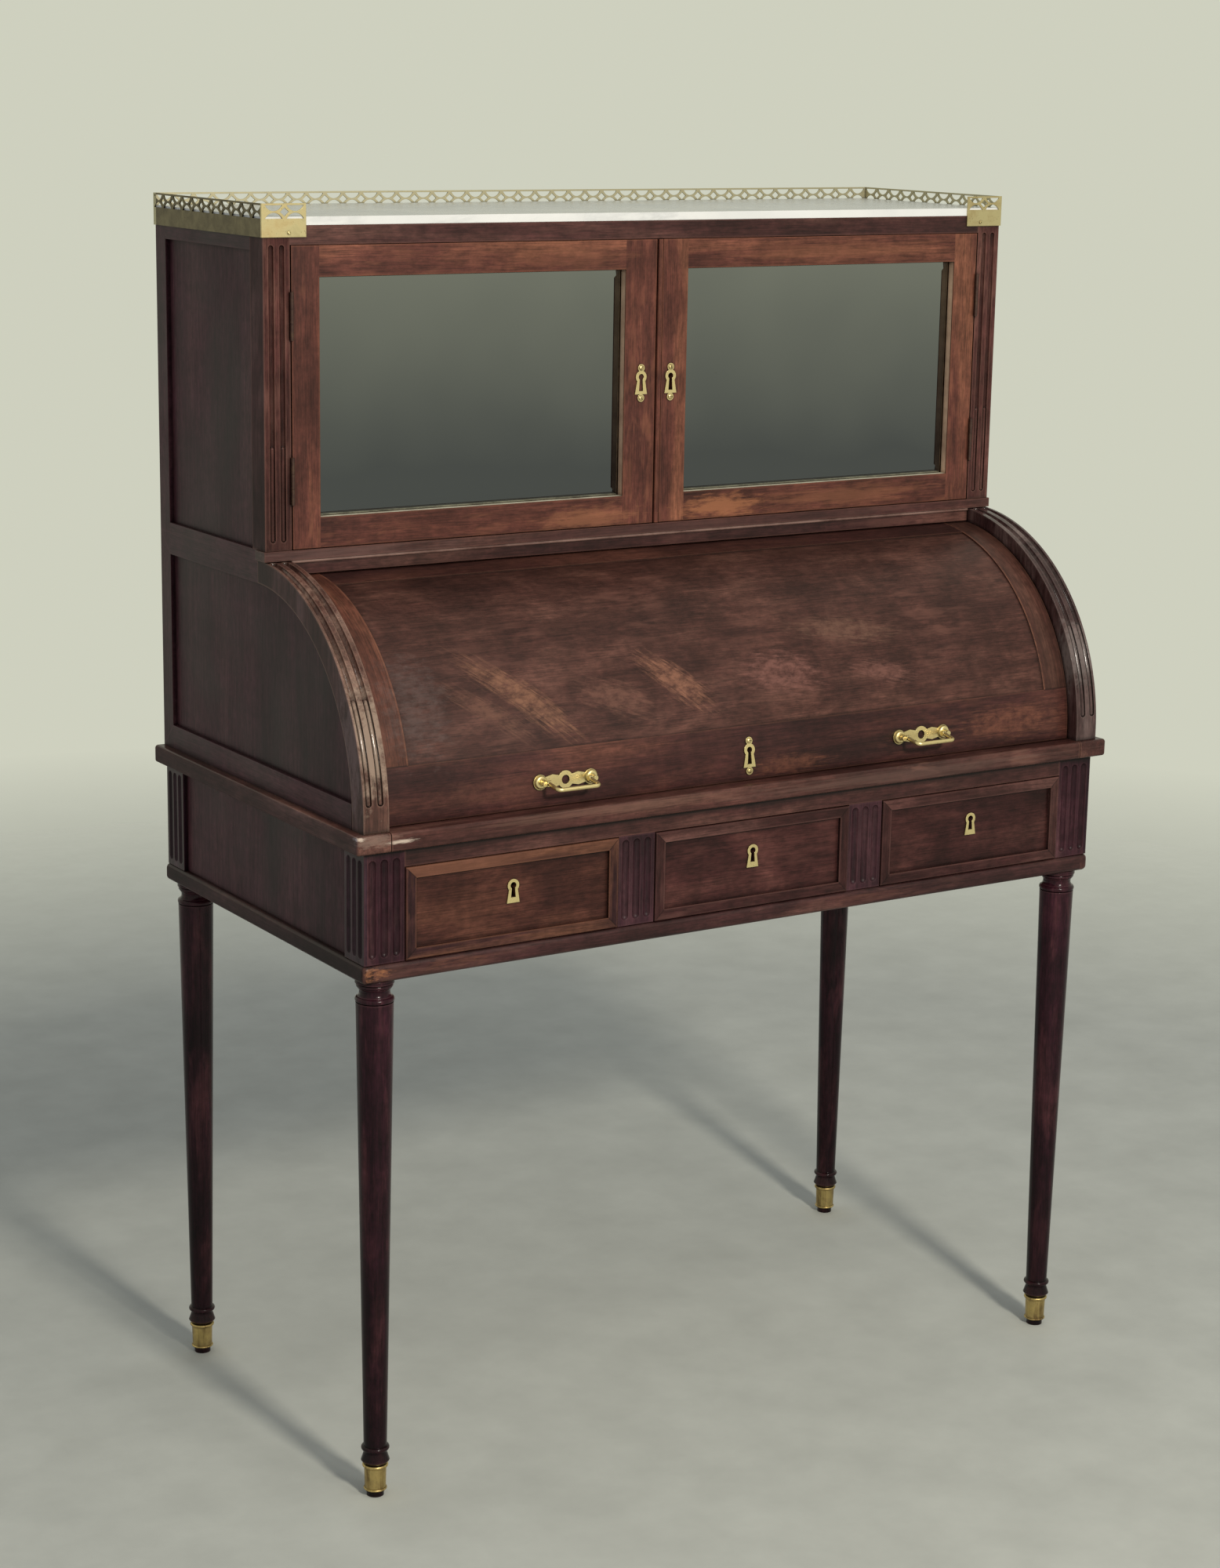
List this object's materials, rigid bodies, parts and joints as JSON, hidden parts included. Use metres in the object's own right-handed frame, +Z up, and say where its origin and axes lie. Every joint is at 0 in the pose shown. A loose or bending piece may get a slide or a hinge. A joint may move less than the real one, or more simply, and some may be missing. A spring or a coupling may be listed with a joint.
{
  "type": "cylinder desk",
  "caption": "Cylinder writing desk on turned legs: a quarter-round fall over a pull-out slide, frieze drawers below, and a mirror-fronted cabinet above under a galleried marble top.",
  "frame": {"origin": "on the floor, under the middle of the desk's overall outline", "axes": "+X to the desk's right as seen from the front, +Y to the back, +Z up; the front faces -Y"},
  "size_m": [0.993, 0.501, 1.3585],
  "materials": {
    "mahogany": "worn polish",
    "oak": "plain planed boards",
    "brass": "worn polish",
    "mirror": "bevelled and a little aged",
    "marble": "polished white marble",
    "leather": "worn writing surface",
    "steel": "dull"
  },
  "bodies": {
    "carcass": {"front_left_leg": "mahogany", "front_right_leg": "mahogany", "back_left_leg": "mahogany", "back_right_leg": "mahogany", "leg_shoes": "brass", "base_moulding": "mahogany", "base_side_panels": "mahogany", "back_panels": "oak", "drawer_rails": "mahogany", "drawer_dividers": "mahogany", "runners": "oak", "table_edges": "mahogany", "left_arc_rail": "mahogany", "right_arc_rail": "mahogany", "left_side_frame": "mahogany", "right_side_frame": "mahogany", "left_cylinder_panel": "mahogany", "right_cylinder_panel": "mahogany", "left_cabinet_panel": "mahogany", "right_cabinet_panel": "mahogany", "cabinet_sill": "mahogany", "cabinet_floor": "mahogany", "cabinet_top_rail": "mahogany", "cabinet_top_board": "mahogany", "cabinet_shelf": "mahogany", "left_stile": "mahogany", "right_stile": "mahogany", "case_hinges": "brass", "pigeonholes": "mahogany", "marble_top": "marble", "brass_gallery": "brass"},
    "fall": {"fall_panel": "mahogany", "fall_lock": "brass", "fall_arms": "steel", "handle_plates": "brass"},
    "left_bail": {"left_bail": "brass"},
    "right_bail": {"right_bail": "brass"},
    "left_door": {"left_door_frame": "mahogany", "left_door_mirror": "mirror", "left_door_backing": "oak", "left_door_plate": "brass", "left_door_hinges": "brass"},
    "right_door": {"right_door_frame": "mahogany", "right_door_mirror": "mirror", "right_door_backing": "oak", "right_door_lock": "brass", "right_door_hinges": "brass"},
    "writing_slide": {"writing_slide": "mahogany", "slide_leather": "leather"},
    "left_small_drawer": {"left_small_drawer": "mahogany"},
    "right_small_drawer": {"right_small_drawer": "mahogany"},
    "left_drawer": {"left_drawer_front": "mahogany", "left_drawer_box": "oak", "left_drawer_lock": "brass"},
    "middle_drawer": {"middle_drawer_front": "mahogany", "middle_drawer_box": "oak", "middle_drawer_lock": "brass"},
    "right_drawer": {"right_drawer_front": "mahogany", "right_drawer_box": "oak", "right_drawer_lock": "brass"}
  },
  "joints": [
    {"name": "fall_turn", "type": "hinge", "parent": "carcass", "child": "fall", "pos_m": [0, -0.0015, 0.7495], "axis": [-1, 0, 0], "range_deg": [0, 72]},
    {"name": "left_bail_lift", "type": "hinge", "parent": "fall", "child": "left_bail", "pos_m": [-0.237, -0.23225, 0.76784], "axis": [-1, 0, 0], "range_deg": [0, 75]},
    {"name": "right_bail_lift", "type": "hinge", "parent": "fall", "child": "right_bail", "pos_m": [0.237, -0.23225, 0.76784], "axis": [-1, 0, 0], "range_deg": [0, 75]},
    {"name": "left_door_swing", "type": "hinge", "parent": "carcass", "child": "left_door", "pos_m": [-0.4537, -0.0229, 1.157], "axis": [0, 0, -1], "range_deg": [0, 170]},
    {"name": "right_door_swing", "type": "hinge", "parent": "carcass", "child": "right_door", "pos_m": [0.4537, -0.0229, 1.157], "axis": [0, 0, 1], "range_deg": [0, 170]},
    {"name": "writing_slide_pull", "type": "slide", "parent": "carcass", "child": "writing_slide", "axis": [0, -1, 0], "range_m": [0, 0.25]},
    {"name": "left_drawer_pull", "type": "slide", "parent": "carcass", "child": "left_drawer", "axis": [0, -1, 0], "range_m": [0, 0.3]},
    {"name": "middle_drawer_pull", "type": "slide", "parent": "carcass", "child": "middle_drawer", "axis": [0, -1, 0], "range_m": [0, 0.3]},
    {"name": "right_drawer_pull", "type": "slide", "parent": "carcass", "child": "right_drawer", "axis": [0, -1, 0], "range_m": [0, 0.3]},
    {"name": "left_small_drawer_pull", "type": "slide", "parent": "carcass", "child": "left_small_drawer", "axis": [0, -1, 0], "range_m": [0, 0.12]},
    {"name": "right_small_drawer_pull", "type": "slide", "parent": "carcass", "child": "right_small_drawer", "axis": [0, -1, 0], "range_m": [0, 0.12]}
  ]
}
